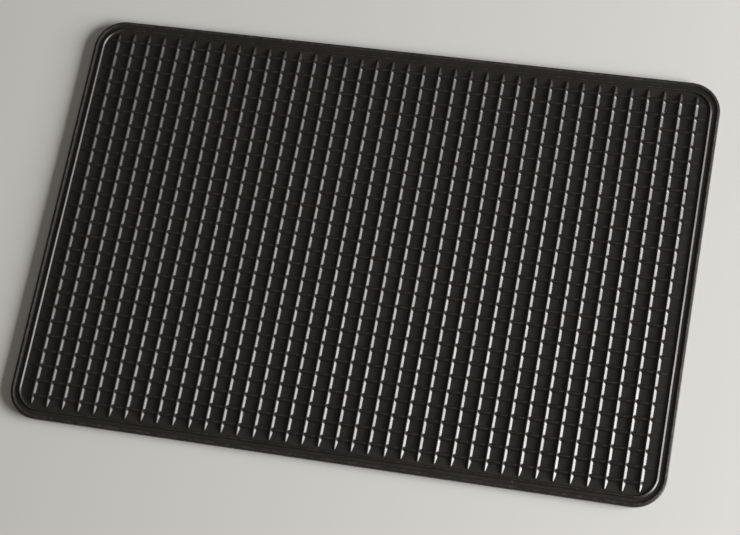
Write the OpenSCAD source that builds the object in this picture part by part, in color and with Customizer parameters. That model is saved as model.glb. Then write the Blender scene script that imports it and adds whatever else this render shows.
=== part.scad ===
// Rubber door mat. X runs along its length, Y across it, and Z is up from the floor that it lies on.
// The ribs, the bead and the rim stand on two sheets. Every piece meets its neighbours face to face.

/* [Outline] */
// Length of the mat, along X
mat_l = 600; // [300:1:1200]
// Width of the mat, along Y
mat_w = 400; // [250:1:900]
// Radius of the mat's outer corners
corner_r = 28.5; // [20:0.5:60]

/* [Sheets] */
// Thickness of the backing sheet, whose underside carries the grip studs
backing_t = 1.4; // [0.8:0.1:4]
// Thickness of the tread sheet, whose top is the floor of every pocket
tread_t = 1.7; // [1:0.05:5]

/* [Ribs] */
// Height of the column ribs above the tread sheet
rib_h = 2.1; // [0.8:0.05:3]
// Height of the row ribs, which have the column ribs' crest and flanks
row_h = 1.75; // [0.8:0.05:3]
// Width of a column rib at its foot
rib_foot_w = 5.5; // [3:0.1:8]
// Width of a rib's flat crest
rib_crest_w = 0.7; // [0.3:0.1:2.5]
// Spacing of the lengthwise rows of ribs, along X
column_pitch = 15; // [10:0.1:40]
// Spacing of the crosswise rows of ribs, along Y
row_pitch = 14.3; // [10:0.1:40]
// Least distance from the mat's end to the middle of its first column rib
column_margin = 22.5; // [20:0.5:60]
// Least distance from the mat's long side to the middle of its first row rib
row_margin = 21.25; // [20:0.25:60]
// Length over which each end of a rib plunges from its level crest to its blunt tip
run_out = 7; // [3:0.1:12]
// Height of a rib's blunt tip
tip_h = 0.7; // [0.2:0.05:1.6]
// Clear floor between the tip of a rib and the bead
tip_gap = 1.5; // [0.3:0.1:6]

/* [Border] */
// Width of the outer rim
rim_w = 3.8; // [3.2:0.1:8]
// Height of the rim above the tread sheet
rim_h = 1.1; // [0.4:0.1:2.4]
// Width of the slope on the rim's inner side
rim_slope_w = 1.4; // [0.4:0.1:1.8]
// Radius of the rim's outer upper edge
rim_round = 0.9; // [0.3:0.1:1.4]
// Chamfer of the rim's outer lower edge
rim_foot_chamfer = 0.5; // [0.2:0.1:0.7]
// Width of the valley between the rim and the bead
valley_w = 3.3; // [1:0.1:10]
// Width of the bead at its foot
bead_foot_w = 3.2; // [2:0.1:8]
// Width of the bead's flat crest
bead_crest_w = 0.6; // [0.3:0.1:2]
// Height of the bead above the tread sheet
bead_h = 1.4; // [0.5:0.05:3]

/* [Underside] */
// Diameter of a grip stud
stud_d = 9; // [4:0.5:10]
// Height of the grip studs, which is also the drainage gap under the backing sheet
stud_h = 0.8; // [0.4:0.1:3]
// Spacing of the grip studs along X
stud_pitch_x = 30; // [16:0.5:80]
// Spacing of the grip studs along Y
stud_pitch_y = 28.6; // [16:0.1:80]
// Least distance from the mat's edge to the middle of a grip stud
stud_margin = 25; // [24:0.5:60]

/* [Hidden] */
$fn = 96;

// What a count may fall short of a whole number by, through rounding
count_slack = 0.001;

// Heights of the faces where the pieces meet
tread_z = stud_h + backing_t;
floor_z = tread_z + tread_t;

// Distances in from the mat's outline
bead_inset = rim_w + valley_w;
tip_inset = bead_inset + bead_foot_w + tip_gap;

// Radius of the corner arc that the tips of the ribs keep inside
tip_r = corner_r - tip_inset;

// How far a rib's flank spreads for each millimetre that it falls, and half of the width of the
// foot at a rib's tip
flank_spread = (rib_foot_w - rib_crest_w) / (2 * rib_h);
tip_half_w = rib_crest_w / 2 + tip_h * flank_spread;

// Middles of the ribs and of the studs, set out evenly about the mat's centre
columns = centred_row(mat_l / 2 - column_margin, column_pitch);
rows = centred_row(mat_w / 2 - row_margin, row_pitch);
studs_x = centred_on_stud(mat_l / 2 - stud_margin, stud_pitch_x);
studs_y = centred_on_stud(mat_w / 2 - stud_margin, stud_pitch_y);

rubber = [0.1, 0.1, 0.095];
rubber_under = [0.15, 0.15, 0.145];

// As many places at this pitch as fit between -reach and +reach, spread evenly about 0
function centred_row(reach, pitch) =
    let (gaps = floor(2 * reach / pitch + count_slack))
    [for (i = [0 : gaps]) (i - gaps / 2) * pitch];

// The same with one place exactly at 0
function centred_on_stud(reach, pitch) =
    let (side = floor(reach / pitch + count_slack))
    [for (i = [-side : side]) i * pitch];

// Angle at which the ends of a rib of this height plunge
function plunge(h) = atan((h - tip_h) / run_out);

// How far from the centre a rib's tip reaches, for a rib that lies at the offset to one side.
// Near a corner the outer edge of the tip's foot keeps to the corner's arc.
function tip_reach(offset, half_along, half_across) =
    let (past = max(0, abs(offset) + tip_half_w - (half_across - corner_r)))
    half_along - corner_r + sqrt(tip_r * tip_r - past * past);

// The mat's outline moved in by the inset
module outline(inset) {
    corner_x = mat_l / 2 - corner_r;
    corner_y = mat_w / 2 - corner_r;
    square([2 * corner_x, mat_w - 2 * inset], center = true);
    square([mat_l - 2 * inset, 2 * corner_y], center = true);
    for (x = [-corner_x, corner_x], y = [-corner_y, corner_y])
        translate([x, y]) circle(corner_r - inset);
}

module sheet(bottom, thickness) {
    translate([0, 0, bottom]) linear_extrude(thickness) outline(rim_w);
}

// Carries a section round the border. In the section, X is the distance in from the outline.
module border() {
    for (turn = [0, 180]) rotate([0, 0, turn]) {
        border_side(mat_l, mat_w) children();
        border_corner(mat_l, mat_w) children();
        rotate([0, 0, 90]) {
            border_side(mat_w, mat_l) children();
            border_corner(mat_w, mat_l) children();
        }
    }
}

// The straight stretch of border on the -Y side, for a mat of this length and width
module border_side(length, width) {
    translate([corner_r - length / 2, -width / 2, 0])
        rotate([90, 0, 90]) linear_extrude(length - 2 * corner_r) children();
}

// The quarter turn of border at the +X, -Y corner
module border_corner(length, width) {
    translate([length / 2 - corner_r, -width / 2 + corner_r, 0])
        rotate([0, 0, -90])
            rotate_extrude(angle = 90) translate([corner_r, 0]) mirror([1, 0]) children();
}

// Section of a raised strip: foot on the X axis, crest above it, centred on X = 0
module strip_section(foot_w, crest_w, h) {
    polygon([[-foot_w / 2, 0], [foot_w / 2, 0], [crest_w / 2, h], [-crest_w / 2, h]]);
}

module rim_section() {
    top = floor_z + rim_h;
    difference() {
        polygon([
            [rim_foot_chamfer, 0], [rim_w, 0], [rim_w, floor_z], [rim_w - rim_slope_w, top],
            [0, top], [0, rim_foot_chamfer]
        ]);
        translate([0, top - rim_round]) difference() {
            square(rim_round);
            translate([rim_round, 0]) circle(rim_round);
        }
    }
}

// Section of a rib, with its foot this depth below its crest
module rib_section(depth, spread) {
    strip_section(rib_crest_w + 2 * depth * spread, rib_crest_w, depth);
}

// A rib along Y whose tips are at -reach and +reach: a straight strip inside two plunging ones
module rib(reach, h) {
    intersection() {
        rotate([90, 0, 0])
            linear_extrude(2 * reach, center = true) rib_section(h, flank_spread);
        plunging_strip(reach, h);
        mirror([0, 1, 0]) plunging_strip(reach, h);
    }
}

// A strip whose crest rises from the tip at +reach, at the plunge angle, and whose foot is below
// the sheet all along the rib. Its flanks meet the straight strip's where the crests meet.
module plunging_strip(reach, h) {
    angle = plunge(h);
    depth = (2 * reach + run_out) * sin(angle) + h;
    translate([0, reach, tip_h]) rotate([90 - angle, 0, 0]) translate([0, -depth, -run_out])
        linear_extrude(2 * reach / cos(angle) + 2 * run_out)
            rib_section(depth, flank_spread / cos(angle));
}

module column_rib_set() {
    for (x = columns)
        translate([x, 0, floor_z]) rib(tip_reach(x, mat_w / 2, mat_l / 2), rib_h);
}

module row_rib_set() {
    for (y = rows)
        translate([0, y, floor_z])
            rotate([0, 0, 90]) rib(tip_reach(y, mat_l / 2, mat_w / 2), row_h);
}

module backing_sheet() {
    color(rubber_under) sheet(stud_h, backing_t);
}

module grip_studs() {
    color(rubber_under)
        for (x = studs_x, y = studs_y)
            translate([x, y, 0]) cylinder(h = stud_h, d = stud_d);
}

module tread_sheet() {
    color(rubber) sheet(tread_z, tread_t);
}

module column_ribs() {
    color(rubber) column_rib_set();
}

// The stretches of row rib between the column ribs
module row_ribs() {
    color(rubber) difference() {
        row_rib_set();
        column_rib_set();
    }
}

module perimeter_bead() {
    color(rubber) border()
        translate([bead_inset + bead_foot_w / 2, floor_z])
            strip_section(bead_foot_w, bead_crest_w, bead_h);
}

module edge_rim() {
    color(rubber) border() rim_section();
}

backing_sheet();
grip_studs();
tread_sheet();
column_ribs();
row_ribs();
perimeter_bead();
edge_rim();
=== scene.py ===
"""A ribbed rubber door mat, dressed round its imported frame.

X runs along the mat, Y across it and Z up from the floor that it lies on. Lengths are in metres.
Every piece is a closed surface worked out on a grid, stands for the CAD node that it is named after,
and takes its place from the nodes' boxes.
"""

import logging
import math
from collections.abc import Mapping, Sequence
from dataclasses import dataclass, field, replace
from enum import Enum
from typing import Any

import bpy
import numpy as np
from mathutils import Matrix, Vector


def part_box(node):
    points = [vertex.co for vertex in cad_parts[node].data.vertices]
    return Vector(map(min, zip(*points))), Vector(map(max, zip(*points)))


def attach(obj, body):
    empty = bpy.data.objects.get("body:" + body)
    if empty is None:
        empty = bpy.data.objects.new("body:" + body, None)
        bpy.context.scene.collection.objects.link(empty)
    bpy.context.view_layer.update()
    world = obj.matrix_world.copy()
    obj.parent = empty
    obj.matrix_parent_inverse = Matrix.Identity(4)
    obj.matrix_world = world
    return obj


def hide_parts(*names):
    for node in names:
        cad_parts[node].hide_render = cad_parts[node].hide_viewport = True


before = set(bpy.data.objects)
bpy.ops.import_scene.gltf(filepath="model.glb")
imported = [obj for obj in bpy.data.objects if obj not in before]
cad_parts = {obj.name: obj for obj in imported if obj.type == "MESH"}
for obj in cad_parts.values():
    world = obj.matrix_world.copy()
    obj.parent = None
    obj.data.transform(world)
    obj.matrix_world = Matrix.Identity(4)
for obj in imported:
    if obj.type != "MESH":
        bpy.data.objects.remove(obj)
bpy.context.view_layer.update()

LOG = logging.getLogger("door_mat")
BODY = "root"
MM = 0.001
SEED = 1931


class Slot(Enum):
    """The material slots of the part."""

    TREAD = "tread_rubber"
    RIBS = "rib_rubber"
    UNDERSIDE = "underside_rubber"


class Along(Enum):
    """The way that a set of ribs runs."""

    WIDTH = "y"
    LENGTH = "x"


# ---------------------------------------------------------------- surfaces


def smooth_min(a: np.ndarray, b: np.ndarray, blend: float) -> np.ndarray:
    """The lesser of two heights, rounded where they cross.

    Half of a + b - sqrt((a - b)^2 + blend^2).

    Args:
        a: One height.
        b: The other height.
        blend: How far apart the heights are where the rounding fades.

    Returns:
        The blended height.
    """
    return (a + b - np.sqrt((a - b) ** 2 + blend**2)) / 2


def smooth_max(a: np.ndarray, b: np.ndarray, blend: float) -> np.ndarray:
    """The greater of two heights, rounded where they cross: minus the smooth_min of -a and -b."""
    return -smooth_min(-np.asarray(a), -np.asarray(b), blend)


def grid_faces(rows: int, cols: int, wrap_rows: bool = False, wrap_cols: bool = False) -> np.ndarray:
    """The quads of a grid whose points are numbered along each row in turn.

    Args:
        rows: Rows of points.
        cols: Points in a row.
        wrap_rows: Whether the last row joins the first.
        wrap_cols: Whether the last point of a row joins its first.

    Returns:
        Point numbers of shape (faces, 4).
    """
    r = np.arange(rows if wrap_rows else rows - 1)[:, None]
    c = np.arange(cols if wrap_cols else cols - 1)[None, :]
    next_r, next_c = (r + 1) % rows, (c + 1) % cols
    corners = [r * cols + c, r * cols + next_c, next_r * cols + next_c, next_r * cols + c]
    return np.stack(np.broadcast_arrays(*corners), -1).reshape(-1, 4)


def repeated(faces: np.ndarray, copies: int, stride: int) -> np.ndarray:
    """The same faces on each of several copies of the points, which follow each other.

    Args:
        faces: Point numbers on the first copy.
        copies: How many copies there are.
        stride: Points in one copy.

    Returns:
        Point numbers of shape (copies * faces, corners).
    """
    shift = np.arange(copies)[:, None, None] * stride
    return (faces[None] + shift).reshape(-1, faces.shape[1])


def signed_volume(points: np.ndarray, faces: Sequence[np.ndarray]) -> float:
    """Volume inside the faces, negative if they point inwards.

    A sixth of the sum of the box products of each fan triangle's corners.

    Args:
        points: Point places, of shape (points, 3).
        faces: Groups of faces with the same number of corners.

    Returns:
        The volume.
    """
    total = 0.0
    for group in faces:
        p = points[group]
        fan = np.cross(p[:, 1:-1], p[:, 2:])
        total += float(np.einsum("fk,fnk->", p[:, 0], fan)) / 6
    return total


def surface_object(
    name: str, points: np.ndarray, faces: Sequence[np.ndarray], sharp: float
) -> bpy.types.Object:
    """Makes a smooth shaded object of closed surfaces, with its faces pointing outwards.

    Args:
        name: Node that the piece stands for, with a number if there are several.
        points: Point places, of any shape that ends in 3.
        faces: Groups of faces with the same number of corners.
        sharp: Angle between faces, in degrees, past which their edge stays sharp.

    Returns:
        The object, at the origin and in the scene.
    """
    flat = np.asarray(points, float).reshape(-1, 3)
    if signed_volume(flat, faces) < 0:
        faces = [group[:, ::-1] for group in faces]
    mesh = bpy.data.meshes.new(name)
    mesh.from_pydata(flat.tolist(), [], [face for group in faces for face in group.tolist()])
    mesh.polygons.foreach_set("use_smooth", np.ones(len(mesh.polygons), bool))
    mesh.set_sharp_from_angle(angle=math.radians(sharp))
    mesh.validate()
    piece = bpy.data.objects.new(f"moulded_{name}", mesh)
    bpy.context.scene.collection.objects.link(piece)
    return piece


@dataclass(frozen=True)
class Wander:
    """A slow wander along each of several ribs, as a mould cut by hand has.

    Attributes:
        starts: Where each of a rib's sines starts, of shape (ribs, 3).
        reach: Greatest size of the wander.
        waves: Lengths of the sines.
        shares: Their shares of the wander.
    """

    starts: np.ndarray
    reach: float
    waves: tuple[float, float, float] = (0.19, 0.071, 0.023)
    shares: tuple[float, float, float] = (0.5, 0.3, 0.2)

    @classmethod
    def random(cls, seed: int, ribs: int, reach: float) -> "Wander":
        """A wander with random starts."""
        return cls(np.random.default_rng(seed).uniform(0, 2 * math.pi, (ribs, 3)), reach)

    def at(self, rib: np.ndarray, along: np.ndarray) -> np.ndarray:
        """Size of the wander: a sum of three sines of the place along the rib.

        Args:
            rib: Numbers of the ribs.
            along: Places along them. Both are broadcast together.

        Returns:
            The wander at each place.
        """
        turns = 2 * math.pi * along[..., None] / np.array(self.waves) + self.starts[rib]
        return self.reach * (np.sin(turns) * self.shares).sum(-1)


@dataclass(frozen=True)
class Outline:
    """A rectangle with round corners, centred on the origin.

    Attributes:
        length: Size along X.
        width: Size along Y.
        corner: Radius of the corners.
        arc_steps: Steps round each corner.
        side_step: Length of the steps along the straight sides.
        block_steps: Grid steps across the block that holds a corner.
    """

    length: float
    width: float
    corner: float
    arc_steps: int = 28
    side_step: float = 8 * MM
    block_steps: int = 12

    def path(self) -> tuple[np.ndarray, np.ndarray]:
        """Walks round the outline.

        Each corner is an arc, c + r (cos a, sin a), and the points of the side after it share the
        arc's last normal.

        Returns:
            The points and their outward normals, each of shape (points, 2).
        """
        half = np.array([self.length / 2, self.width / 2]) - self.corner
        points, normals = [], []
        for quarter, sign in enumerate(((1, 1), (-1, 1), (-1, -1), (1, -1))):
            turn = np.linspace(quarter, quarter + 1, self.arc_steps + 1) * math.pi / 2
            normal = np.stack([np.cos(turn), np.sin(turn)], -1)
            arc = half * sign + self.corner * normal
            side = 2 * half[quarter % 2]
            steps = max(2, round(side / self.side_step))
            forward = np.array([-normal[-1, 1], normal[-1, 0]])
            walk = side * np.arange(1, steps)[:, None] / steps
            points += [arc, arc[-1] + forward * walk]
            normals += [normal, np.repeat(normal[-1:], steps - 1, 0)]
        return np.concatenate(points), np.concatenate(normals)

    def swept(self, section: np.ndarray, wander: float = 0.0) -> np.ndarray:
        """Carries a section round the outline: point - normal * inset, at the section's height.

        The section strays by the mean of three sines of the way round, of 7, 17 and 41 turns.

        Args:
            section: Pairs of distance in from the outline and height, of shape (n, 2).
            wander: How far the section strays from its line.

        Returns:
            Points of shape (path, n, 3).
        """
        points, normals = self.path()
        turn = np.linspace(0, 2 * math.pi, len(points), endpoint=False)
        turns, starts = np.array([7, 17, 41]), np.array([1, 0, 2])
        stray = wander * np.sin(turns * turn[:, None] + starts).mean(-1)
        inset = section[None, :, 0] + stray[:, None]
        flat = points[:, None] - normals[:, None] * inset[..., None]
        height = np.broadcast_to(section[:, 1], inset.shape)
        return np.concatenate([flat, height[..., None]], -1)

    def pressed(self, x: np.ndarray, y: np.ndarray) -> tuple[np.ndarray, np.ndarray]:
        """Presses the square corners of a grid into round ones.

        In a corner block u and v run from 0 to 1, and become u sqrt(1 - v^2/2) and
        v sqrt(1 - u^2/2), which puts the block's outer edges on a quarter circle.

        Args:
            x: Grid places along X.
            y: Grid places along Y.

        Returns:
            The new places.
        """
        start = np.array([self.length / 2, self.width / 2]) - self.corner
        u = np.clip((np.abs(x) - start[0]) / self.corner, 0, 1)
        v = np.clip((np.abs(y) - start[1]) / self.corner, 0, 1)
        new_x = np.where(u > 0, np.sign(x) * (start[0] + self.corner * u * np.sqrt(1 - v**2 / 2)), x)
        new_y = np.where(v > 0, np.sign(y) * (start[1] + self.corner * v * np.sqrt(1 - u**2 / 2)), y)
        return new_x, new_y

    def corner_lines(self, axis: int) -> np.ndarray:
        """Grid lines across both corner blocks along one axis, 0 for X and 1 for Y.

        Args:
            axis: The axis.

        Returns:
            Places along the axis.
        """
        half = (self.length, self.width)[axis] / 2
        block = np.linspace(half - self.corner, half, self.block_steps + 1)
        return np.concatenate([-block[::-1], block])


@dataclass(frozen=True)
class Strip:
    """Cross-section of a raised strip: a narrow crest, straight flanks and a filleted foot.

    Attributes:
        height: Height of the crest over the sheet.
        crest: Half of the crest's width.
        foot: Half of the foot's width.
        crest_blend: Rounding of the crest's edges.
        foot_blend: Rounding of the foot.
        skirt: How far beyond the foot the surface goes on, under the sheet's surface.
        root: How deep the strip is let into the sheet.
        crest_places: Places worked out near the crest, in shares of its half width.
        flank_places: Places worked out down the flank, in shares of its width.
    """

    height: float
    crest: float
    foot: float
    crest_blend: float = 0.2 * MM
    foot_blend: float = 0.2 * MM
    skirt: float = 0.35 * MM
    root: float = 0.5 * MM
    crest_places: tuple[float, ...] = (0, 0.7, 1.1)
    flank_places: tuple[float, ...] = (0.22, 0.5, 0.76, 0.92, 1.05)

    def slope(self) -> float:
        """Steepness of the flanks."""
        return self.height / (self.foot - self.foot_blend / 2 - self.crest)

    def offsets(self) -> np.ndarray:
        """Places across the strip where its surface is worked out, closest where it bends most.

        Returns:
            Places from one edge of the strip to the other.
        """
        crest = np.array(self.crest_places) * self.crest
        flank = self.crest + (self.foot - self.crest) * np.array(self.flank_places)
        half = np.concatenate([crest, flank, [self.foot + self.skirt]])
        return np.concatenate([-half[:0:-1], half])

    def surface(self, across: np.ndarray, drop: np.ndarray) -> np.ndarray:
        """Height over the sheet at a distance from the strip's middle.

        The lesser of the crest and the flank's line, less the drop, and not under the sheet, with
        both bends rounded. A third of the foot's rounding is taken off all over, so that the
        surface ends just under the sheet's. The flank's line meets the sheet inside the foot's
        width, which the rounding then fills.

        Args:
            across: Distance from the middle of the strip.
            drop: How far the strip has sunk into the sheet here.

        Returns:
            The height.
        """
        flank = self.height + self.slope() * (self.crest - np.abs(across))
        body = smooth_min(np.full_like(flank, self.height), flank, self.crest_blend) - drop
        return smooth_max(np.zeros_like(body), body, self.foot_blend) - self.foot_blend / 3


# ---------------------------------------------------------------- finishes


@dataclass(frozen=True)
class Cloud:
    """A kind of cloudy noise.

    Attributes:
        per_metre: Features to a metre.
        detail: Octaves of finer features.
        rough: Strength of each octave beside the one before.
    """

    per_metre: float
    detail: float = 2.0
    rough: float = 0.5


class Socket:
    """A value in a material's graph. Arithmetic on it adds Math nodes."""

    def __init__(self, graph: "Graph", link: bpy.types.NodeSocket) -> None:
        """Wraps the output of a node of the graph."""
        self.graph = graph
        self.link = link

    def math(self, operation: str, *values: "Socket | float") -> "Socket":
        """Adds a Math node of this operation on these values."""
        inputs = dict(enumerate(values))
        return self.graph.add("ShaderNodeMath", {"operation": operation}, inputs)["Value"]

    def __add__(self, other: "Socket | float") -> "Socket":
        """Sum."""
        return self.math("ADD", self, other)

    def __radd__(self, other: float) -> "Socket":
        """Sum with a number on the left."""
        return self.math("ADD", other, self)

    def __sub__(self, other: "Socket | float") -> "Socket":
        """Difference."""
        return self.math("SUBTRACT", self, other)

    def __rsub__(self, other: float) -> "Socket":
        """Difference from a number on the left."""
        return self.math("SUBTRACT", other, self)

    def __mul__(self, other: "Socket | float") -> "Socket":
        """Product."""
        return self.math("MULTIPLY", self, other)

    def __rmul__(self, other: float) -> "Socket":
        """Product with a number on the left."""
        return self.math("MULTIPLY", other, self)

    def ramp(self, low: float, high: float) -> "Socket":
        """0 below low, 1 above high and a smooth step between, or the reverse if high is lower.

        Args:
            low: Where the result is 0.
            high: Where it is 1.

        Returns:
            The result.
        """
        settings = {"interpolation_type": "SMOOTHSTEP"}
        ends = (low, high, 0.0, 1.0) if low < high else (high, low, 1.0, 0.0)
        inputs = dict(enumerate((self, *ends)))
        return self.graph.add("ShaderNodeMapRange", settings, inputs)["Result"]


class Outputs:
    """The outputs of a node, by name."""

    def __init__(self, graph: "Graph", node: bpy.types.Node) -> None:
        """Keeps the node and its graph."""
        self.graph = graph
        self.node = node

    def __getitem__(self, name: str) -> Socket:
        """The output of that name that is in use, wrapped."""
        for output in self.node.outputs:
            if output.enabled and name in (output.name, output.identifier):
                return Socket(self.graph, output)
        raise KeyError(name)


class Graph:
    """The nodes of one material."""

    def __init__(self, name: str) -> None:
        """Makes a material without any nodes.

        Args:
            name: The material's name.
        """
        self.material = bpy.data.materials.new(name)
        self.material.use_nodes = True
        self.tree = self.material.node_tree
        self.tree.nodes.clear()

    def add(self, kind: str, settings: Mapping[str, Any], inputs: Mapping[int | str, Any]) -> Outputs:
        """Adds a node.

        Args:
            kind: The node's type.
            settings: Its properties, which are set first.
            inputs: Values or links of its sockets, by name or place.

        Returns:
            The node's outputs.
        """
        node = self.tree.nodes.new(kind)
        for name, value in settings.items():
            setattr(node, name, value)
        for key, value in inputs.items():
            socket = node.inputs[key]
            if isinstance(value, Socket):
                self.tree.links.new(value.link, socket)
            else:
                socket.default_value = value
        return Outputs(self, node)

    def mix(self, share: Socket, low: Any, high: Any) -> Socket:
        """Goes from one colour to another as the share goes from 0 to 1."""
        settings = {"data_type": "RGBA", "clamp_factor": True}
        # The sockets of a Mix node share their names, so the colours are given by place.
        return self.add("ShaderNodeMix", settings, {0: share, 6: low, 7: high})["Result"]

    def noise(self, place: Socket, cloud: Cloud) -> Socket:
        """Cloudy noise from 0 to 1."""
        inputs = {
            "Vector": place,
            "Scale": cloud.per_metre,
            "Detail": cloud.detail,
            "Roughness": cloud.rough,
        }
        return self.add("ShaderNodeTexNoise", {}, inputs)["Fac"]

    def surface(self, inputs: Mapping[int | str, Any]) -> None:
        """Ends the graph in a plain shader with these inputs."""
        shader = self.add("ShaderNodeBsdfPrincipled", {}, inputs)["BSDF"]
        self.add("ShaderNodeOutputMaterial", {}, {"Surface": shader})


# Mottling: two clouds, and the brightness of the darkest and the palest rubber.
CLOUDS = Cloud(14.0, 4.0, 0.6)
PATCHES = Cloud(150.0, 3.0, 0.55)
CLOUDS_SHARE = 0.55
MOTTLE_ENDS = (0.3, 0.7)
DARKEST = 0.8
PALEST = 1.25
# Dust: a patchy film that fades in below its level.
FILM = Cloud(45.0, 5.0, 0.7)
FILM_ENDS = (0.42, 0.75)
DUST_FADE = 0.3 * MM
DUST_COLOUR = (0.32, 0.29, 0.25)
DUST_TINT = 0.5
DUST_ROUGHENS = 0.35
# Scuffs that fade in up to their level pale the crests: partly real scuffing and partly a painted
# highlight.
SCUFFS = Cloud(260.0, 4.0, 0.65)
SCUFF_ENDS = (0.4, 0.72)
WEAR_AND_HIGHLIGHT_FADE = 0.25 * MM
WEAR_AND_HIGHLIGHT_BRIGHTNESS = 2.5
WEAR_AND_HIGHLIGHT_TINT = 0.06
WEAR_ROUGHENS = 0.25
# Specks: the middles of a few of the cells of a cell pattern.
SPECKS_PER_METRE = 95.0
SPECK_ENDS = (0.05, 0.03)
SPECK_PICKS = (0.965, 0.975)
SPECK_SHARE = 0.6
SPECK_TINT = 0.8
SPECKS_ROUGHEN = 0.3
# Skin: sheen in streaks along Y, fine grain, slow ripples, and the refraction of rubber.
SHEEN = Cloud(60.0, 3.0, 0.6)
SHEEN_STRETCH = (1.0, 0.25, 1.0)
GRAIN_DETAIL = 2.0
GRAIN_ROUGH = 0.6
RIPPLES = Cloud(210.0, 2.0, 0.5)
REFRACTION = 1.52


@dataclass(frozen=True)
class MouldedRubber:
    """Black rubber as it leaves a steel mould, a little used.

    Attributes:
        name: Name of the finish.
        slot: Material slot of the part. Not used.
        shade: Base colour.
        gloss: Roughness of clean rubber.
        gloss_spread: How much the roughness changes from place to place.
        grain: Depth of the fine moulded grain.
        grain_per_metre: How fine the grain is.
        ripple: Depth of the slow ripple in the moulded skin.
        dust: How much dust lies on the lowest surfaces.
        dust_level: Height under which dust gathers.
        wear_and_highlight_strength: How far the crests pale, partly from scuffing and partly as a
            painted highlight.
        wear_and_highlight_level: Height over which the crests are scuffed and carry the painted
            highlight.
    """

    name: str
    slot: Slot
    shade: tuple[float, float, float]
    gloss: float
    gloss_spread: float
    grain: float
    grain_per_metre: float
    ripple: float
    dust: float = 0.0
    dust_level: float = 0.0
    wear_and_highlight_strength: float = 0.0
    wear_and_highlight_level: float = 1.0

    def colour(self, brightness: float = 1.0, tint: float = 0.0) -> tuple[float, float, float, float]:
        """The shade, brightened and turned towards a dusty tan."""
        pairs = zip(self.shade, DUST_COLOUR, strict=True)
        return (*((1 - tint) * own * brightness + tint * dust for own, dust in pairs), 1.0)

    def material(self) -> bpy.types.Material:
        """Builds the finish.

        Two scales of mottling vary the shade, dust pales it low down, scuffing pales and roughens the
        crests, where the paling is also a painted highlight, and a few specks lie all over. Grain and
        ripples make the relief.

        Returns:
            The material.
        """
        graph = Graph(self.name)
        place = graph.add("ShaderNodeTexCoord", {}, {})["Object"]
        height = graph.add("ShaderNodeSeparateXYZ", {}, {0: place})["Z"]
        patches = (1 - CLOUDS_SHARE) * graph.noise(place, PATCHES)
        mottle = CLOUDS_SHARE * graph.noise(place, CLOUDS) + patches

        low = height.ramp(self.dust_level, self.dust_level - DUST_FADE)
        dust = low * graph.noise(place, FILM).ramp(*FILM_ENDS) * self.dust
        # Crests pale where the scuffs lie: partly real scuffing, partly a painted highlight.
        crest = height.ramp(self.wear_and_highlight_level - WEAR_AND_HIGHLIGHT_FADE, self.wear_and_highlight_level)
        wear_and_highlight = crest * graph.noise(place, SCUFFS).ramp(*SCUFF_ENDS) * self.wear_and_highlight_strength

        cell = {"Vector": place, "Scale": SPECKS_PER_METRE, "Randomness": 1.0}
        cells = graph.add("ShaderNodeTexVoronoi", {}, cell)
        pick = graph.add("ShaderNodeSeparateXYZ", {}, {0: cells["Color"]})["X"]
        specks = cells["Distance"].ramp(*SPECK_ENDS) * pick.ramp(*SPECK_PICKS)

        base = graph.mix(mottle.ramp(*MOTTLE_ENDS), self.colour(DARKEST), self.colour(PALEST))
        dusted = graph.mix(dust, base, self.colour(1.0, DUST_TINT))
        # The paled crests are partly scuffing and partly a painted highlight.
        rubbed_and_highlighted = graph.mix(wear_and_highlight, dusted, self.colour(WEAR_AND_HIGHLIGHT_BRIGHTNESS, WEAR_AND_HIGHLIGHT_TINT))
        flecked = graph.mix(specks * SPECK_SHARE, rubbed_and_highlighted, self.colour(1.0, SPECK_TINT))

        stretched = {"Vector": place, "Scale": SHEEN_STRETCH}
        streaks = graph.add("ShaderNodeMapping", {}, stretched)["Vector"]
        clean = self.gloss + (graph.noise(streaks, SHEEN) - 0.5) * self.gloss_spread
        rough = clean + DUST_ROUGHENS * dust + WEAR_ROUGHENS * wear_and_highlight + SPECKS_ROUGHEN * specks

        fine = Cloud(self.grain_per_metre, GRAIN_DETAIL, GRAIN_ROUGH)
        skin = graph.noise(place, fine) * self.grain + graph.noise(place, RIPPLES) * self.ripple
        relief = graph.add("ShaderNodeBump", {}, {"Height": skin, "Distance": 1.0})["Normal"]
        graph.surface({"Base Color": flecked, "Roughness": rough, "Normal": relief, "IOR": REFRACTION})
        return graph.material

    def dress(self, piece: bpy.types.Object) -> None:
        """Gives the piece this finish.

        Args:
            piece: The piece.
        """
        made = bpy.data.materials.get(self.name) or self.material()
        piece.data.materials.clear()
        piece.data.materials.append(made)


# ---------------------------------------------------------------- the mat's members


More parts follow.
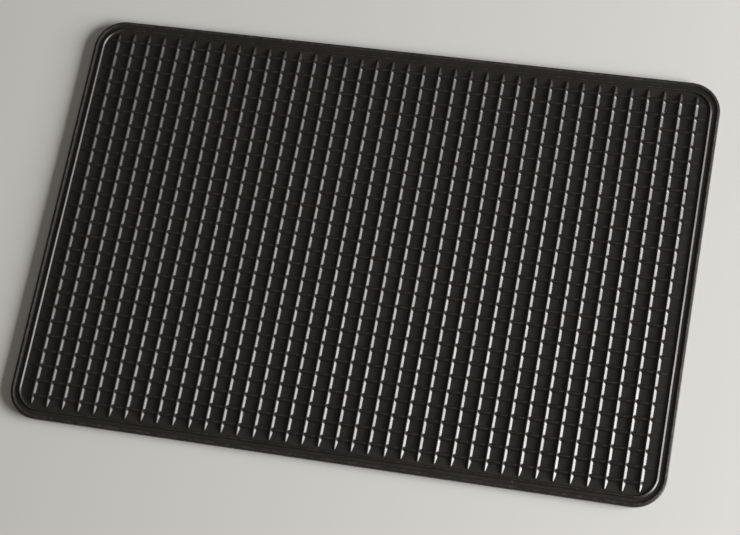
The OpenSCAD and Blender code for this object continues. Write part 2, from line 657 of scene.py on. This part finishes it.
@dataclass(frozen=True)
class MatSizes:
    """Sizes that the members share, read from the frame or the same as the design's.

    Attributes:
        length: Length of the mat.
        width: Width of the mat.
        rim_top: Height of the rim's crown.
        backing_z: Underside of the backing sheet.
        tread_z: Face where the two sheets meet.
        floor_z: Top of the tread sheet.
        rib_top: Height of the column ribs' crests.
        row_top: Height of the row ribs' crests.
        bead_top: Height of the bead's crest.
        corner: Radius of the mat's corners.
        rim: Width of the rim.
        column_pitch: Spacing of the column ribs.
        row_pitch: Spacing of the row ribs.
        rib_crest: Half of the width of a rib's crest.
        rib_foot: Half of the width of a column rib's foot.
        bead_crest: Half of the width of the bead's crest.
        bead_foot: Half of the width of the bead's foot.
        run_out: Length over which a rib's end plunges.
        tip_height: Height of a rib's blunt tip.
        tip_inset: Distance from the mat's edge to the tips of the ribs.
    """

    length: float
    width: float
    rim_top: float
    backing_z: float
    tread_z: float
    floor_z: float
    rib_top: float
    row_top: float
    bead_top: float
    corner: float = 28.5 * MM
    rim: float = 3.8 * MM
    column_pitch: float = 15.0 * MM
    row_pitch: float = 14.3 * MM
    rib_crest: float = 0.35 * MM
    rib_foot: float = 2.75 * MM
    bead_crest: float = 0.3 * MM
    bead_foot: float = 1.6 * MM
    run_out: float = 7.0 * MM
    tip_height: float = 0.7 * MM
    tip_inset: float = 11.8 * MM

    @classmethod
    def from_frame(cls) -> "MatSizes":
        """Reads the heights and the outline from the nodes' boxes.

        Returns:
            The sizes.
        """
        rim_low, rim_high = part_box("edge_rim")
        backing_low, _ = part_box("backing_sheet")
        tread_low, tread_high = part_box("tread_sheet")
        return cls(
            length=rim_high.x - rim_low.x,
            width=rim_high.y - rim_low.y,
            rim_top=rim_high.z,
            backing_z=backing_low.z,
            tread_z=tread_low.z,
            floor_z=tread_high.z,
            rib_top=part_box("column_ribs")[1].z,
            row_top=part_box("row_ribs")[1].z,
            bead_top=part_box("perimeter_bead")[1].z,
        )

    def outline(self, inset: float = 0.0) -> Outline:
        """The mat's outline, moved in by the inset."""
        return Outline(self.length - 2 * inset, self.width - 2 * inset, self.corner - inset)

    def rib_width(self, height: float) -> float:
        """Half of a rib's width, this far below its crest."""
        share = height / (self.rib_top - self.floor_z)
        return self.rib_crest + (self.rib_foot - self.rib_crest) * share

    def middles(self, along: Along) -> np.ndarray:
        """Middles of the ribs that run this way, which fill the box of their node at their pitch.

        Args:
            along: The way.

        Returns:
            Places across the ribs.
        """
        node, axis, pitch = {
            Along.WIDTH: ("column_ribs", 0, self.column_pitch),
            Along.LENGTH: ("row_ribs", 1, self.row_pitch),
        }[along]
        low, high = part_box(node)
        span = high[axis] - low[axis] - 2 * self.rib_foot
        gaps = round(span / pitch)
        return (np.arange(gaps + 1) - gaps / 2) * pitch

    def reaches(self, along: Along) -> np.ndarray:
        """How far from the centre the tips of the ribs that run this way are.

        A rib beside a corner ends on the corner's arc: the square root of radius^2 - past^2, where
        past is how far the outer edge of its tip lies beyond the arc's middle.

        Args:
            along: The way that the ribs run.

        Returns:
            The distance for each rib.
        """
        half = {Along.WIDTH: self.width / 2, Along.LENGTH: self.length / 2}[along]
        side = {Along.WIDTH: self.length / 2, Along.LENGTH: self.width / 2}[along]
        outer_edge = np.abs(self.middles(along)) + self.rib_width(self.tip_height)
        past = np.maximum(0, outer_edge - (side - self.corner))
        return half - self.corner + np.sqrt((self.corner - self.tip_inset) ** 2 - past**2)


@dataclass(frozen=True)
class Sheet:
    """A flat sheet with round corners, whose top may be uneven.

    Attributes:
        name: Node that the piece stands for.
        sizes: The mat's sizes.
        bottom: Height of its underside.
        top: Height of its top.
        finish: Its finish.
        hidden: Distance from a rib's middle within which no grid line lies.
        pocket_steps: Grid lines in a pocket.
        swell: Depth of the slow swell in the top.
        swell_waves: Lengths along X and Y over which the swell's sines turn by one radian.
    """

    name: str
    sizes: MatSizes
    bottom: float
    top: float
    finish: MouldedRubber
    hidden: float = 2.2 * MM
    pocket_steps: int = 5
    swell: float = 0.03 * MM
    swell_waves: tuple[float, float] = (41 * MM, 33 * MM)

    def lines(self, axis: int) -> np.ndarray:
        """Grid lines along one axis: every pocket's, and those of the corners, without near twins.

        Args:
            axis: The axis, 0 for X and 1 for Y.

        Returns:
            Places along the axis.
        """
        along = (Along.WIDTH, Along.LENGTH)[axis]
        middles = self.sizes.middles(along)
        pitch = middles[1] - middles[0]
        steps = np.linspace(self.hidden, pitch - self.hidden, self.pocket_steps)
        starts = np.concatenate([[middles[0] - pitch], middles])
        pockets = (starts[:, None] + steps).ravel()
        outline = self.sizes.outline(self.sizes.rim)
        half = (outline.length, outline.width)[axis] / 2
        pockets = pockets[np.abs(pockets) < half - outline.corner]
        return np.unique(np.round(np.concatenate([pockets, outline.corner_lines(axis)]), decimals=6))

    def relief(self, x: np.ndarray, y: np.ndarray) -> np.ndarray:
        """Unevenness of the top. A plain sheet has none but a slow swell, a product of sines."""
        return self.swell * np.sin(x / self.swell_waves[0]) * np.sin(y / self.swell_waves[1])

    def build(self) -> list[bpy.types.Object]:
        """Joins a top grid and a bottom grid by a wall along their edges.

        Returns:
            The piece.
        """
        x_lines, y_lines = self.lines(0), self.lines(1)
        grid_x, grid_y = np.meshgrid(x_lines, y_lines, indexing="ij")
        x, y = self.sizes.outline(self.sizes.rim).pressed(grid_x, grid_y)
        top = np.stack([x, y, self.top + self.relief(x, y)], -1)
        bottom = np.stack([x, y, np.full_like(x, self.bottom)], -1)
        rows, cols = x.shape
        number = np.arange(rows * cols).reshape(rows, cols)
        edge = np.concatenate([number[0, :-1], number[:-1, -1], number[-1, :0:-1], number[:0:-1, 0]])
        after = np.roll(edge, -1)
        below = rows * cols
        faces = grid_faces(rows, cols)
        wall = np.stack([edge, after, after + below, edge + below], -1)
        groups = [faces[:, ::-1], faces + below, wall[:, ::-1]]
        return [surface_object(self.name, np.stack([top, bottom]), groups, sharp=35.0)]


@dataclass(frozen=True)
class TreadSheet(Sheet):
    """The upper sheet, the floor of whose pockets is a little uneven.

    Attributes:
        tilt: Standard deviation of a pocket's level, and of the rise of its edges.
        most: Greatest size of the level and the tilts together.
        dish: Depth of a pocket's dish.
    """

    tilt: float = 0.015 * MM
    most: float = 0.06 * MM
    dish: float = 0.025 * MM

    def relief(self, x: np.ndarray, y: np.ndarray) -> np.ndarray:
        """Unevenness of the pocket floors.

        In each pocket p and q run from -1 to 1. The height is a random level, plus a random tilt
        times p, plus a random tilt times q, less the dish times 1 - p^2 q^2.

        Args:
            x: Places along X.
            y: Places along Y.

        Returns:
            Height over the sheet's top at each place.
        """
        rng = np.random.default_rng(SEED)
        spots = []
        for place, along in ((x, Along.WIDTH), (y, Along.LENGTH)):
            middles = self.sizes.middles(along)
            pitch = middles[1] - middles[0]
            cell = np.clip(np.floor((place - middles[0]) / pitch).astype(int) + 1, 0, len(middles))
            share = (place - middles[0]) / pitch - (cell - 1)
            spots.append((cell, np.clip(2 * share - 1, -1, 1), len(middles) + 1))
        (i, p, columns), (j, q, rows) = spots
        level, lean, pitch_over = rng.normal(0, self.tilt, (3, columns, rows))
        shape = level[i, j] + lean[i, j] * p + pitch_over[i, j] * q
        return np.clip(shape, -self.most, self.most) - self.dish * (1 - p**2 * q**2)


@dataclass(frozen=True)
class RibShape:
    """The surface of a set of parallel ribs whose ends plunge to blunt tips.

    Attributes:
        sizes: The mat's sizes.
        along: The way that the ribs run.
        strip: Their cross-section.
        stray: How they wander from their lines.
        rise: How their crests wander from their height.
        tip: Height of a tip over the sheet.
        blunting: Length over which a blunt tip is rounded off.
    """

    sizes: MatSizes
    along: Along
    strip: Strip
    stray: Wander
    rise: Wander
    tip: float
    blunting: float = 1.0 * MM

    @classmethod
    def make(
        cls, sizes: MatSizes, along: Along, top: float, tip: float, crest_blend: float, seed: int
    ) -> "RibShape":
        """A set of ribs whose crests and tips are at these heights, with rounded crests.

        Args:
            sizes: The mat's sizes.
            along: The way that the ribs run.
            top: Height of the crests over the ground.
            tip: Height of the tips over the sheet.
            crest_blend: Rounding of the crests' edges.
            seed: Seed of the wander.

        Returns:
            The shape.
        """
        most_stray, most_rise, headroom = 0.07 * MM, 0.02 * MM, 0.03 * MM
        height = top - sizes.floor_z - headroom
        strip = Strip(height, sizes.rib_crest, sizes.rib_width(height), crest_blend)
        count = len(sizes.middles(along))
        stray, rise = Wander.random(seed, count, most_stray), Wander.random(seed + 1, count, most_rise)
        return cls(sizes, along, strip, stray, rise, tip)

    def drop(self, rib: np.ndarray, along: np.ndarray) -> np.ndarray:
        """How far a rib has sunk at a place along it.

        Past its level stretch it sinks in proportion to the distance, to the height of its tip,
        and there it falls away with the square of the distance.

        Args:
            rib: Numbers of the ribs.
            along: Places along them.

        Returns:
            The drop at each place.
        """
        run_out, height = self.sizes.run_out, self.strip.height
        past = np.maximum(0, np.abs(along) - (self.sizes.reaches(self.along) - run_out)[rib])
        beyond = np.clip((past - run_out) / self.blunting + 0.5, 0, 1)
        return past * (height - self.tip) / run_out + height * beyond**2

    def height(self, rib: np.ndarray, across: np.ndarray, along: np.ndarray) -> np.ndarray:
        """Height over the sheet, for places across from a rib's own middle and along it.

        Args:
            rib: Numbers of the ribs.
            across: Distance from the rib's own middle.
            along: Places along it.

        Returns:
            The height at each place.
        """
        drop = self.drop(rib, along)
        showing = np.clip(1 - drop / self.strip.height, 0, 1)
        return self.strip.surface(across, drop) + self.rise.at(rib, along) * showing

    def nearest(self, side: np.ndarray, along: np.ndarray) -> np.ndarray:
        """Height over the sheet of whichever rib is nearest to each place.

        Args:
            side: Places across the ribs, from the mat's middle.
            along: Places along them.

        Returns:
            The height at each place.
        """
        middles = self.sizes.middles(self.along)
        number = np.round((side - middles[0]) / (middles[1] - middles[0])).astype(int)
        rib = np.clip(number, 0, len(middles) - 1)
        return self.height(rib, side - middles[rib] - self.stray.at(rib, along), along)

    def tips(self) -> np.ndarray:
        """How far from the centre each rib's surface ends."""
        return self.sizes.reaches(self.along) + self.blunting / 2


@dataclass(frozen=True)
class RibSet:
    """Parallel ribs, one closed surface to a rib.

    Attributes:
        name: Node that the pieces stand for.
        shape: Their surface.
        crossing: The surface of the ribs that cross them.
        finish: Their finish.
        bays: How many pieces the set is made as.
        near: Places on both sides of a crossing where the surface is worked out.
        carries_crossings: Whether these ribs carry the fillets of the crossings.
        fillet: Size of the fillets where two ribs cross.
        sink: How far a surface sinks under that of the ribs that it meets.
        sink_from: Where a crossing rib starts to sink, in shares of the foot's half width.
        sink_until: Where a rib under a crossing has stopped sinking, in the same shares.
        sink_run: Distance over which a surface sinks, in the same shares.
        end_steps: Places worked out along a rib's end, in shares of its length.
    """

    name: str
    shape: RibShape
    crossing: RibShape
    finish: MouldedRubber
    bays: int
    near: tuple[float, ...]
    carries_crossings: bool
    fillet: float = 0.6 * MM
    sink: float = 0.09 * MM
    sink_from: float = 0.85
    sink_until: float = 1.1
    sink_run: float = 0.3
    end_steps: tuple[float, ...] = (0.15, 0.3, 0.45, 0.6, 0.75, 0.87, 0.93, 0.97, 1.0)

    def stations(self, tips: np.ndarray) -> np.ndarray:
        """Places along each rib: beside and between the crossings, then closer towards the tip.

        Args:
            tips: How far from the centre each rib ends.

        Returns:
            Places of shape (ribs, stations).
        """
        crossings = self.crossing.sizes.middles(self.crossing.along)
        beside = np.unique([sign * step for step in self.near for sign in (-1, 1)])
        between = (crossings[1:] + crossings[:-1]) / 2
        shared = np.sort(np.concatenate([(crossings[:, None] + beside).ravel(), between]))
        end = shared[-1] + (tips[:, None] - shared[-1]) * np.array(self.end_steps)
        middle = np.broadcast_to(shared, (len(tips), shared.size))
        return np.concatenate([-end[:, ::-1], middle, end], 1)

    def join(self, own: np.ndarray, other: np.ndarray, across: np.ndarray) -> np.ndarray:
        """Runs the crossing ribs through these, with fillets between their flanks.

        With t the lesser height's share of the crest's, the two surfaces are blended over
        4 t (1 - t) of the fillet, so the crests and the feet keep their height. Towards this
        surface's side the crossing ribs sink, and their own surface takes over.

        Args:
            own: Height of these ribs.
            other: Height of the crossing ribs.
            across: Distance from the middle of these ribs.

        Returns:
            The joined height.
        """
        strip = self.shape.strip
        start, run = self.sink_from * strip.foot, self.sink_run * strip.foot
        side = np.clip((np.abs(across) - start) / run, 0, 1)
        share = np.clip(np.minimum(own, other) / strip.height, 0, 1)
        blend = self.fillet * 4 * share * (1 - share)
        return smooth_max(own, other - self.sink * side, blend)

    def under_crossings(self, along: np.ndarray) -> np.ndarray:
        """How far these ribs sink where the crossing ribs carry the surface.

        Args:
            along: Places along these ribs.

        Returns:
            How far they sink at each place.
        """
        middles = self.crossing.sizes.middles(self.crossing.along)
        distance = np.abs(along[..., None] - middles).min(-1)
        foot = self.shape.strip.foot
        return self.sink * np.clip((self.sink_until - distance / foot) / self.sink_run, 0, 1)

    def skin(self, rib: np.ndarray) -> np.ndarray:
        """The upper surface of some of the ribs.

        A rib's section narrows as it sinks, from the foot's width to the crest's.

        Args:
            rib: Numbers of the ribs.

        Returns:
            Points of shape (ribs, stations, offsets, 3).
        """
        shape, strip, sizes = self.shape, self.shape.strip, self.shape.sizes
        along = self.stations(shape.tips()[rib])[..., None]
        number = rib[:, None, None]
        showing = np.clip(1 - shape.drop(number, along) / strip.height, 0, 1)
        width = strip.crest + (strip.foot - strip.crest) * showing + strip.skirt
        across = strip.offsets() * width / (strip.foot + strip.skirt)
        along = np.broadcast_to(along, across.shape)
        side = sizes.middles(shape.along)[number] + shape.stray.at(number, along) + across
        rise = shape.height(number, across, along)
        if self.carries_crossings:
            rise = self.join(rise, self.crossing.nearest(along, side), across)
        else:
            rise = rise - self.under_crossings(along)
        return np.stack([side, along, sizes.floor_z + rise], -1)

    def build(self) -> list[bpy.types.Object]:
        """Closes each rib's skin with two walls, a root and two end caps.

        Returns:
            The pieces, one for each bay.
        """
        shape = self.shape
        pieces = []
        for bay, rib in enumerate(np.array_split(np.arange(len(shape.tips())), self.bays)):
            skin = self.skin(rib)
            root = skin[:, :, [0, -1]].copy()
            root[..., 2] = shape.sizes.floor_z - shape.strip.root
            loop = np.concatenate([skin, root[:, :, ::-1]], 2)
            if shape.along is Along.LENGTH:
                loop = loop[..., [1, 0, 2]]
            count, places, points = loop.shape[:3]
            stride = places * points
            walls = repeated(grid_faces(places, points, wrap_cols=True), count, stride)
            caps = np.stack([np.arange(points)[::-1], np.arange(points) + stride - points])
            faces = [walls, repeated(caps, count, stride)]
            pieces.append(surface_object(f"{self.name}_{bay + 1}", loop, faces, sharp=40.0))
        return pieces


@dataclass(frozen=True)
class Bead:
    """The thin raised strip round the ribs.

    Attributes:
        sizes: The mat's sizes.
        finish: Its finish.
        inset: Distance from the mat's edge to the middle of the bead.
        wander: How far the bead strays from its line.
        name: Node that the piece stands for.
    """

    sizes: MatSizes
    finish: MouldedRubber
    inset: float = 8.7 * MM
    wander: float = 0.08 * MM
    name: str = "perimeter_bead"

    def build(self) -> list[bpy.types.Object]:
        """Carries the strip's section round the mat, closed below by its root.

        Returns:
            The piece.
        """
        sizes = self.sizes
        strip = Strip(sizes.bead_top - sizes.floor_z, sizes.bead_crest, sizes.bead_foot)
        across = strip.offsets()
        rise = strip.surface(across, np.zeros_like(across))
        skin = np.stack([self.inset + across, sizes.floor_z + rise], -1)
        root = sizes.floor_z - strip.root
        ends = [[skin[-1, 0], root], [skin[0, 0], root]]
        ring = sizes.outline().swept(np.concatenate([skin, ends]), self.wander)
        faces = grid_faces(ring.shape[0], ring.shape[1], wrap_rows=True, wrap_cols=True)
        return [surface_object(self.name, ring, [faces], sharp=40.0)]


@dataclass(frozen=True)
class Rim:
    """The rounded rim, from its crown down to the floor.

    Attributes:
        sizes: The mat's sizes.
        finish: Its finish.
        ridge: Distance from the edge to the crown's ridge.
        outer_slope: Steepness of the crown outside its ridge.
        inner_slope: Steepness of the crown inside its ridge.
        ridge_blend: Rounding of the ridge.
        headroom: How far the ridge stays under the top of its node.
        inner_blend: Rounding of the crown's inner foot.
        overlap: How far the crown goes on past the rim's width.
        inner_places: Places worked out inside the ridge, in shares of the width there.
        steps: Places worked out outside the ridge, and round the upper outer edge.
        foot_steps: Places worked out round the lower outer edge.
        edge_round: Radius of the upper outer edge.
        side_draw: How far the outer side leans in under the parting line.
        parting_z: Height of the mould's parting line.
        flash: How far the thin flash at the parting line stands out.
        flash_half: Half of the flash's thickness at its root.
        flash_foot: How far under the parting line the side leans in.
        foot_round: Radius of the lower outer edge.
        lip: How far the inner foot laps over the tread sheet.
        lip_edge: How far the lip's edge lies under the sheet's top.
        lip_root: How far its root does.
        name: Node that the piece stands for.
    """

    sizes: MatSizes
    finish: MouldedRubber
    ridge: float = 2.4 * MM
    outer_slope: float = 0.4
    inner_slope: float = 0.62
    ridge_blend: float = 0.5 * MM
    headroom: float = 0.1 * MM
    inner_blend: float = 0.15 * MM
    overlap: float = 0.5 * MM
    inner_places: tuple[float, ...] = (0.1, 0.22, 0.4, 0.6, 0.78, 0.9, 1.0)
    steps: int = 6
    foot_steps: int = 5
    edge_round: float = 0.7 * MM
    side_draw: float = 0.1 * MM
    parting_z: float = 2.6 * MM
    flash: float = 0.1 * MM
    flash_half: float = 0.12 * MM
    flash_foot: float = 0.35 * MM
    foot_round: float = 0.45 * MM
    lip: float = 0.6 * MM
    lip_edge: float = 0.3 * MM
    lip_root: float = 0.4 * MM
    name: str = "edge_rim"

    def crown(self) -> np.ndarray:
        """The rounded top, outside to inside.

        A gable: the lesser of a gentle slope up to the ridge and a steeper one down from it, and
        not under the sheet, with every bend rounded. A quarter circle rounds its outer edge.

        Returns:
            Pairs of distance in from the edge and height.
        """
        sizes, r = self.sizes, self.edge_round
        outside = np.linspace(self.flash + r, self.ridge, self.steps)
        inside = (sizes.rim + self.overlap - self.ridge) * np.array(self.inner_places)
        inset = np.concatenate([outside, self.ridge + inside])
        peak = sizes.rim_top - self.headroom + self.ridge_blend / 2
        outer, inner = self.outer_slope * (inset - self.ridge), self.inner_slope * (self.ridge - inset)
        gable = smooth_min(peak + outer, peak + inner, self.ridge_blend)
        top = smooth_max(np.full_like(gable, sizes.floor_z), gable, self.inner_blend)
        turn = np.linspace(0, math.pi / 2, self.steps, endpoint=False)
        edge = np.stack([self.flash + r * (1 - np.cos(turn)), top[0] - r * (1 - np.sin(turn))], -1)
        return np.concatenate([edge, np.stack([inset, top], -1)])

    def section(self) -> np.ndarray:
        """The whole section: foot, outer side with its flash, crown, lip and inner side.

        Returns:
            Pairs of distance in from the edge and height.
        """
        sizes, f, z, r = self.sizes, self.flash, self.parting_z, self.foot_round
        turn = np.linspace(0, math.pi / 2, self.foot_steps)
        inset = f + self.side_draw
        foot = np.stack([inset + r * (1 - np.sin(turn)), r * (1 - np.cos(turn))], -1)
        flash = [[f, z - self.flash_half], [0, z], [f, z + self.flash_half]]
        side = [[inset, z - self.flash_foot], *flash]
        lip = [
            [sizes.rim + self.lip, sizes.floor_z - self.lip_edge],
            [sizes.rim, sizes.floor_z - self.lip_root],
            [sizes.rim, 0.0],
        ]
        return np.concatenate([foot, side, self.crown(), lip])

    def build(self) -> list[bpy.types.Object]:
        """Carries the section round the mat's outline.

        Returns:
            The piece.
        """
        ring = self.sizes.outline().swept(self.section())
        faces = grid_faces(ring.shape[0], ring.shape[1], wrap_rows=True, wrap_cols=True)
        return [surface_object(self.name, ring, [faces], sharp=40.0)]


@dataclass(frozen=True)
class GripStuds:
    """Round studs under the backing sheet, with a rounded edge and a shallow hollow in the face.

    Attributes:
        sizes: The mat's sizes.
        finish: Their finish.
        pitch_x: Spacing along X.
        pitch_y: Spacing along Y.
        radius: Radius of a stud.
        sides: Steps round a stud.
        name: Node that the piece stands for.
    """

    sizes: MatSizes
    finish: MouldedRubber
    pitch_x: float = 30 * MM
    pitch_y: float = 28.6 * MM
    radius: float = 4.5 * MM
    sides: int = 20
    name: str = "grip_studs"

    def middles(self) -> np.ndarray:
        """Middles of the studs, which fill their node's box at their pitch: shape (studs, 2).

        Returns:
            Their places along X and Y.
        """
        low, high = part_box(self.name)
        across = []
        for axis, pitch in ((0, self.pitch_x), (1, self.pitch_y)):
            side = round((high[axis] - low[axis] - 2 * self.radius) / (2 * pitch))
            across.append(np.arange(-side, side + 1) * pitch)
        return np.stack(np.meshgrid(*across, indexing="ij"), -1).reshape(-1, 2)

    def build(self) -> list[bpy.types.Object]:
        """Turns a short section about each stud's middle, closed above and below by a cap.

        The section runs from just inside the sheet down the side, round the edge, and up into the
        hollow, in pairs of radius and height.

        Returns:
            The studs, as one piece.
        """
        top, r = self.sizes.backing_z, self.radius
        section = np.array([
            [r, top + 0.2 * MM], [r, top], [r - 0.15 * MM, top - 0.2 * MM], [r - 0.25 * MM, 0.2 * MM],
            [r - 0.5 * MM, 0.0], [r - 1.3 * MM, 0.0], [r - 2.2 * MM, 0.15 * MM],
        ])
        turn = np.arange(self.sides) * 2 * math.pi / self.sides
        middles = self.middles()
        around = np.stack([np.cos(turn), np.sin(turn)], -1)
        flat = middles[:, None, None] + section[None, :, None, :1] * around[None, None]
        height = np.broadcast_to(section[None, :, None, 1:], (*flat.shape[:3], 1))
        points = np.concatenate([flat, height], -1)
        rings = len(section)
        stride = rings * self.sides
        walls = repeated(grid_faces(rings, self.sides, wrap_cols=True), len(middles), stride)
        cap = np.arange(self.sides)
        caps = np.stack([cap[::-1], cap + stride - self.sides])
        faces = [walls, repeated(caps, len(middles), stride)]
        return [surface_object(self.name, points, faces, sharp=50.0)]


@dataclass
class DoorMat:
    """The whole mat.

    Attributes:
        sizes: Sizes that its members share.
        pieces: What has been built.
    """

    sizes: MatSizes
    pieces: list[bpy.types.Object] = field(default_factory=list)

    def members(self) -> list[Sheet | RibSet | Bead | Rim | GripStuds]:
        """The mat's members, from the floor up.

        Returns:
            The members.
        """
        sizes, floor = self.sizes, self.sizes.floor_z
        black = (0.0099, 0.0085, 0.0067)
        tread = MouldedRubber(
            "moulded_tread_rubber", Slot.TREAD, black, gloss=0.46, gloss_spread=0.16,
            grain=0.008 * MM, grain_per_metre=1500, ripple=0.03 * MM,
            dust=0.05, dust_level=floor + 0.2 * MM,
        )
        ribs = MouldedRubber(
            "moulded_rib_rubber", Slot.RIBS, black, gloss=0.38, gloss_spread=0.14,
            grain=0.004 * MM, grain_per_metre=1500, ripple=0.02 * MM,
            dust=0.05, dust_level=floor + 0.35 * MM, wear_and_highlight_strength=0.5, wear_and_highlight_level=sizes.rib_top,
        )
        # The row ribs', the rim's and the bead's crests pale strongly, partly from scuffing and partly
        # as a painted highlight.
        row = replace(ribs, name="moulded_row_rubber", wear_and_highlight_strength=2.4, wear_and_highlight_level=sizes.row_top - 0.15 * MM)
        rim = replace(tread, name="moulded_rim_rubber", wear_and_highlight_strength=0.8, wear_and_highlight_level=sizes.rim_top - 0.25 * MM)
        bead_wear_and_highlight_level = sizes.bead_top - 0.1 * MM
        bead = replace(ribs, name="moulded_bead_rubber", gloss=0.44, wear_and_highlight_strength=0.8, wear_and_highlight_level=bead_wear_and_highlight_level)
        under = MouldedRubber(
            "moulded_underside_rubber", Slot.UNDERSIDE, (0.0145, 0.0135, 0.0118),
            gloss=0.62, gloss_spread=0.2, grain=0.03 * MM, grain_per_metre=900, ripple=0.05 * MM,
        )
        tip = sizes.tip_height
        columns = RibShape.make(
            sizes, Along.WIDTH, sizes.rib_top, tip, crest_blend=0.2 * MM, seed=SEED + 1
        )
        rows = RibShape.make(
            sizes, Along.LENGTH, sizes.row_top, tip / 2, crest_blend=0.6 * MM, seed=SEED + 3
        )
        near_rows = (0.0, 0.45 * MM, 0.95 * MM, 1.5 * MM, 2.1 * MM, 2.8 * MM)
        near_columns = (1.9 * MM, 2.95 * MM)
        return [
            GripStuds(sizes, under),
            Sheet("backing_sheet", sizes, sizes.backing_z, sizes.tread_z, under),
            TreadSheet("tread_sheet", sizes, sizes.tread_z, floor, tread),
            RibSet("column_ribs", columns, rows, ribs, bays=3, near=near_rows, carries_crossings=True),
            RibSet("row_ribs", rows, columns, row, bays=2, near=near_columns, carries_crossings=False),
            Bead(sizes, bead),
            Rim(sizes, rim),
        ]

    def build(self) -> None:
        """Builds each member, dresses it, and puts it in place of its node on the mat's body."""
        for member in self.members():
            for piece in member.build():
                member.finish.dress(piece)
                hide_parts(member.name)
                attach(piece, BODY)
                self.pieces.append(piece)
                faces = len(piece.data.polygons)
                LOG.info("%s: %d faces, in place of %s", piece.name, faces, member.name)


# ---------------------------------------------------------------- the studio


@dataclass(frozen=True)
class SoftLight:
    """A rectangular soft box.

    Attributes:
        name: Its name.
        place: Where it stands.
        aim: The point that it faces.
        size: Its width and height.
        power: Its power in watts.
        colour: Its colour.
    """

    name: str
    place: tuple[float, float, float]
    aim: tuple[float, float, float]
    size: tuple[float, float]
    power: float
    colour: tuple[float, float, float] = (1.0, 1.0, 1.0)

    def build(self) -> bpy.types.Object:
        """Makes the light and turns it to its aim.

        Returns:
            The light, in the scene.
        """
        data = bpy.data.lights.new(self.name, "AREA")
        data.shape = "RECTANGLE"
        data.size, data.size_y = self.size
        data.energy = self.power
        data.color = self.colour
        light = bpy.data.objects.new(self.name, data)
        light.location = self.place
        ray = Vector(self.aim) - Vector(self.place)
        light.rotation_euler = ray.to_track_quat("-Z", "Y").to_euler()
        bpy.context.scene.collection.objects.link(light)
        return light


@dataclass(frozen=True)
class Studio:
    """The camera, the lights and the pale floor.

    Attributes:
        azimuth: Bearing of the camera, in degrees from -Y towards +X.
        elevation: Angle of the camera over the floor.
        roll: How far the camera is turned about its line of sight.
        distance: Distance from the camera to its aim.
        aim: The point in the middle of the picture.
        lens: Focal length in millimetres.
        sensor: Width of the camera's sensor in millimetres.
        floor_span: Length of the floor's sides.
        floor_lines: Grid lines across the floor.
        floor_drop: How far the floor lies under the mat.
        floor_cloud: Where the floor changes shade.
        floor_shades: Its darkest and its palest shade.
        floor_rough: Its roughness.
        sky_colour: Colour of the light from all round.
        sky_strength: Strength of that light.
    """

    azimuth: float = 32.815
    elevation: float = 68.706
    roll: float = 23.679
    distance: float = 1.9237
    aim: tuple[float, float, float] = (0.0079, -0.0155, 0.0025)
    lens: float = 102.95
    sensor: float = 36.0
    floor_span: float = 9.0
    floor_lines: int = 13
    floor_drop: float = 0.05 * MM
    floor_cloud: Cloud = Cloud(1.4, 3.0)
    floor_shades: tuple[tuple[float, ...], ...] = ((0.57, 0.57, 0.56, 1.0), (0.61, 0.61, 0.60, 1.0))
    floor_rough: float = 0.85
    sky_colour: tuple[float, float, float] = (1.08, 1.0, 0.86)
    sky_strength: float = 0.125

    def camera(self) -> bpy.types.Object:
        """Makes the scene's camera.

        Returns:
            The camera.
        """
        azimuth, elevation = math.radians(self.azimuth), math.radians(self.elevation)
        flat = math.cos(elevation)
        back = Vector((math.sin(azimuth) * flat, -math.cos(azimuth) * flat, math.sin(elevation)))
        data = bpy.data.cameras.new("camera")
        data.lens, data.sensor_width = self.lens, self.sensor
        camera = bpy.data.objects.new("camera", data)
        upright = (-back).to_track_quat("-Z", "Y").to_matrix().to_4x4()
        roll = Matrix.Rotation(math.radians(-self.roll), 4, "Z")
        place = Matrix.Translation(Vector(self.aim) + back * self.distance)
        camera.matrix_world = place @ upright @ roll
        bpy.context.scene.collection.objects.link(camera)
        bpy.context.scene.camera = camera
        return camera

    def floor(self) -> bpy.types.Object:
        """Makes the pale floor, a hair under the mat, with a faint cloudiness.

        Returns:
            The floor.
        """
        half, count = self.floor_span / 2, self.floor_lines
        line = np.linspace(-half, half, count)
        x, y = np.meshgrid(line, line, indexing="ij")
        points = np.stack([x, y, np.full_like(x, -self.floor_drop)], -1)
        mesh = bpy.data.meshes.new("studio_floor")
        faces = grid_faces(count, count)[:, ::-1]
        mesh.from_pydata(points.reshape(-1, 3).tolist(), [], faces.tolist())
        floor = bpy.data.objects.new("studio_floor", mesh)
        graph = Graph("pale_floor")
        place = graph.add("ShaderNodeTexCoord", {}, {})["Object"]
        shade = graph.mix(graph.noise(place, self.floor_cloud), *self.floor_shades)
        graph.surface({"Base Color": shade, "Roughness": self.floor_rough})
        mesh.materials.append(graph.material)
        bpy.context.scene.collection.objects.link(floor)
        return floor

    def sky(self) -> None:
        """Fills the room with even light."""
        world = bpy.data.worlds.new("studio_room")
        bpy.context.scene.world = world
        world.use_nodes = True
        background = world.node_tree.nodes["Background"]
        background.inputs["Color"].default_value = (*self.sky_colour, 1)
        background.inputs["Strength"].default_value = self.sky_strength

    def lights(self) -> list[SoftLight]:
        """The lights: a wide soft box low on the right, a dim one overhead and a dim one behind."""
        middle, warm = (0.0, 0.0, 0.0), (1.0, 0.985, 0.96)
        return [
            SoftLight("key", (3.6, -0.2, 0.93), middle, (2.98, 1.23), 490.0, warm),
            SoftLight("overhead", (0.1, 0.22, 1.9), (0.1, 0.0, 0.0), (1.3, 0.7), 1.0),
            SoftLight("back_fill", (0.0, 1.9, 0.55), middle, (3.0, 0.8), 1.8),
        ]

    def build(self) -> None:
        """Sets up the studio."""
        self.camera()
        self.floor()
        self.sky()
        for light in self.lights():
            light.build()
        bpy.context.scene.view_settings.view_transform = "Standard"


def main() -> None:
    """Builds the studio and the mat."""
    Studio().build()
    mat = DoorMat(MatSizes.from_frame())
    mat.build()
    LOG.info("%d pieces", len(mat.pieces))


if __name__ == "__main__":
    logging.basicConfig(level=logging.INFO, format="%(name)s: %(message)s")
    main()
